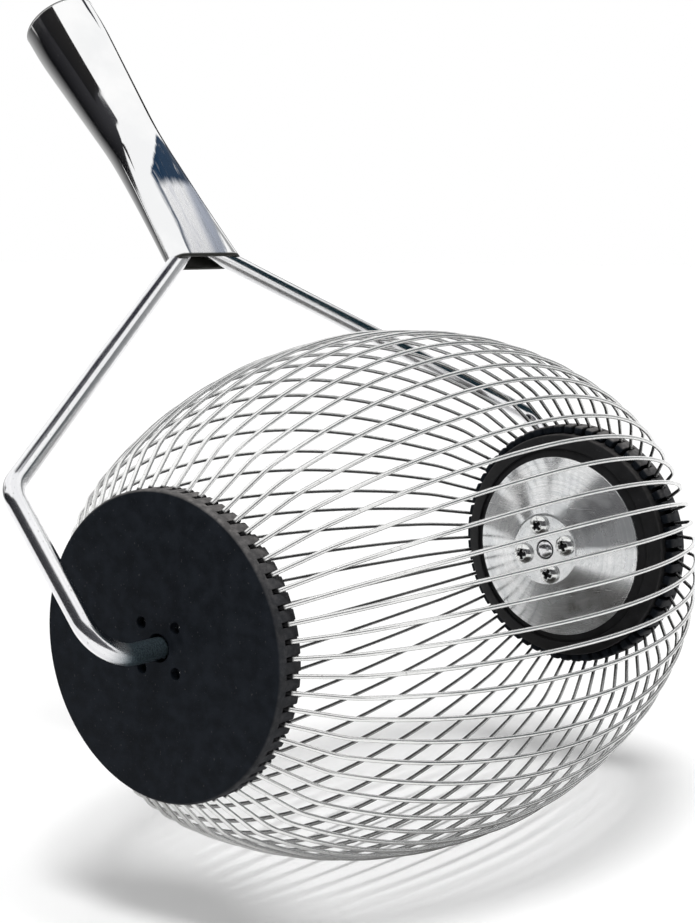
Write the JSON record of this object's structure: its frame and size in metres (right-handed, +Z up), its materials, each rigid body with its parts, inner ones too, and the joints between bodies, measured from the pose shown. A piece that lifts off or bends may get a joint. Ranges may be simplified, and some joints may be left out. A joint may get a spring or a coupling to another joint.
{
  "type": "nut gatherer",
  "caption": "Rolling nut gatherer head: a barrel cage of sprung wires between two slotted discs, turning on a bent rod fork with a pole socket.",
  "frame": {"origin": "on the floor, under the middle of the bounding box", "axes": "+Z up, +X the way the roller is pushed, away from the pole, +Y along the axle to the left of the person pushing"},
  "size_m": [0.2804, 0.311, 0.319],
  "materials": {
    "socket_chrome": "polished, lightly worn near the lip",
    "rod_chrome": "polished",
    "disc_plastic": "matte, fine grain",
    "clamp_plastic": "matte",
    "plate_steel": "polished in rings",
    "screw_steel": "bright zinc",
    "spring_wire": "satin zinc"
  },
  "bodies": {
    "handle": {"socket": "socket_chrome", "fork_rod": "rod_chrome"},
    "roller": {"right_disc": "disc_plastic", "right_clamp_cone": "clamp_plastic", "right_cone_plate": "plate_steel", "right_screws": "screw_steel", "left_disc": "disc_plastic", "left_clamp_cone": "clamp_plastic", "left_cone_plate": "plate_steel", "left_screws": "screw_steel", "wires_01": "spring_wire", "wires_02": "spring_wire", "wires_03": "spring_wire", "wires_04": "spring_wire", "wires_05": "spring_wire", "wires_06": "spring_wire", "wires_07": "spring_wire", "wires_08": "spring_wire", "wires_09": "spring_wire", "wires_10": "spring_wire", "wires_11": "spring_wire", "wires_12": "spring_wire"}
  },
  "joints": [
    {"name": "roller_spin", "type": "hinge", "parent": "handle", "child": "roller", "pos_m": [0.04559, 0, 0.09462], "axis": [0, 1, 0], "continuous": true}
  ]
}
